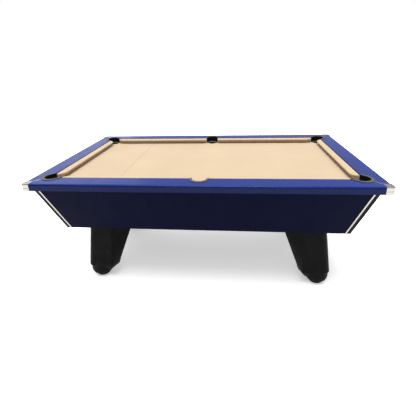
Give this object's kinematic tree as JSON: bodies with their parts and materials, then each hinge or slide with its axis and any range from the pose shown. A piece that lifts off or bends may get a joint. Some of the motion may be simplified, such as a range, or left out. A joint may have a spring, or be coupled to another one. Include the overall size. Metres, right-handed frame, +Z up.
{
  "type": "pool table",
  "caption": "Pub-style pool table with laminate rails, cloth bed, tapering cabinet, internal ball return, chunky moulded legs and screw-adjustable levelling feet.",
  "frame": {"origin": "on the floor under the middle of the table", "axes": "+X along the length towards the ball return end, +Y across the width away from the viewer, +Z up"},
  "size_m": [2.159, 1.244, 0.823],
  "materials": {
    "rail_laminate": "blue semi-gloss laminate on board",
    "cloth": "napped wool cloth, pale sand",
    "chrome": "polished plating",
    "pocket_moulding": "satin dark grey moulding",
    "slate": "honed slate",
    "timber": "plain sawn timber and board",
    "cabinet_laminate": "dark blue laminate on board",
    "black_trim": "black satin edging",
    "leg_moulding": "black textured moulding",
    "return_plastic": "black moulded plastic",
    "foot_plastic": "black moulded plastic",
    "steel": "zinc-plated steel"
  },
  "bodies": {
    "table": {"side_rail_near": "rail_laminate", "side_rail_far": "rail_laminate", "end_rail_left": "rail_laminate", "end_rail_right": "rail_laminate", "cushion_near_left": "cloth", "cushion_near_right": "cloth", "cushion_far_left": "cloth", "cushion_far_right": "cloth", "cushion_left_end": "cloth", "cushion_right_end": "cloth", "bed_cloth": "cloth", "corner_cap_near_left": "chrome", "corner_cap_near_right": "chrome", "corner_cap_far_left": "chrome", "corner_cap_far_right": "chrome", "corner_strip_near_left": "chrome", "corner_strip_near_right": "chrome", "corner_strip_far_left": "chrome", "corner_strip_far_right": "chrome", "pocket_liner_near_left": "pocket_moulding", "pocket_liner_near_right": "pocket_moulding", "pocket_liner_far_left": "pocket_moulding", "pocket_liner_far_right": "pocket_moulding", "pocket_liner_near_middle": "pocket_moulding", "pocket_liner_far_middle": "pocket_moulding", "return_bezel": "pocket_moulding", "slate": "slate", "long_bearer_near": "timber", "long_bearer_far": "timber", "cross_bearer_left": "timber", "cross_bearer_middle": "timber", "cross_bearer_right": "timber", "base_board": "timber", "side_panel_near": "cabinet_laminate", "side_panel_far": "cabinet_laminate", "end_panel_left": "cabinet_laminate", "end_panel_right": "cabinet_laminate", "corner_post_near_left": "black_trim", "corner_post_near_right": "black_trim", "corner_post_far_left": "black_trim", "corner_post_far_right": "black_trim", "leg_near_left": "leg_moulding", "leg_near_right": "leg_moulding", "leg_far_left": "leg_moulding", "leg_far_right": "leg_moulding", "ball_run_near": "return_plastic", "ball_run_far": "return_plastic", "collection_tray": "return_plastic", "foot_nuts": "steel", "cap_screws": "steel", "slate_screws": "steel", "leg_bolts": "steel"},
    "pad_near_left": {"foot_pad_near_left": "foot_plastic"},
    "stem_near_left": {"foot_stem_near_left": "steel"},
    "pad_near_right": {"foot_pad_near_right": "foot_plastic"},
    "stem_near_right": {"foot_stem_near_right": "steel"},
    "pad_far_left": {"foot_pad_far_left": "foot_plastic"},
    "stem_far_left": {"foot_stem_far_left": "steel"},
    "pad_far_right": {"foot_pad_far_right": "foot_plastic"},
    "stem_far_right": {"foot_stem_far_right": "steel"}
  },
  "joints": [
    {"name": "foot_slide_near_left", "type": "slide", "parent": "table", "child": "pad_near_left", "axis": [0, 0, -1], "range_m": [0, 0.02]},
    {"name": "foot_turn_near_left", "type": "hinge", "parent": "pad_near_left", "child": "stem_near_left", "pos_m": [-0.775, -0.348, 0.06], "axis": [0, 0, -1], "range_deg": [0, 3600]},
    {"name": "foot_slide_near_right", "type": "slide", "parent": "table", "child": "pad_near_right", "axis": [0, 0, -1], "range_m": [0, 0.02]},
    {"name": "foot_turn_near_right", "type": "hinge", "parent": "pad_near_right", "child": "stem_near_right", "pos_m": [0.775, -0.348, 0.06], "axis": [0, 0, -1], "range_deg": [0, 3600]},
    {"name": "foot_slide_far_left", "type": "slide", "parent": "table", "child": "pad_far_left", "axis": [0, 0, -1], "range_m": [0, 0.02]},
    {"name": "foot_turn_far_left", "type": "hinge", "parent": "pad_far_left", "child": "stem_far_left", "pos_m": [-0.775, 0.348, 0.06], "axis": [0, 0, -1], "range_deg": [0, 3600]},
    {"name": "foot_slide_far_right", "type": "slide", "parent": "table", "child": "pad_far_right", "axis": [0, 0, -1], "range_m": [0, 0.02]},
    {"name": "foot_turn_far_right", "type": "hinge", "parent": "pad_far_right", "child": "stem_far_right", "pos_m": [0.775, 0.348, 0.06], "axis": [0, 0, -1], "range_deg": [0, 3600]}
  ],
  "couplings": [
    {"joint": "foot_turn_near_left", "follows": "foot_slide_near_left", "rad_per_m": 3141.6},
    {"joint": "foot_turn_near_right", "follows": "foot_slide_near_right", "rad_per_m": 3141.6},
    {"joint": "foot_turn_far_left", "follows": "foot_slide_far_left", "rad_per_m": 3141.6},
    {"joint": "foot_turn_far_right", "follows": "foot_slide_far_right", "rad_per_m": 3141.6}
  ]
}
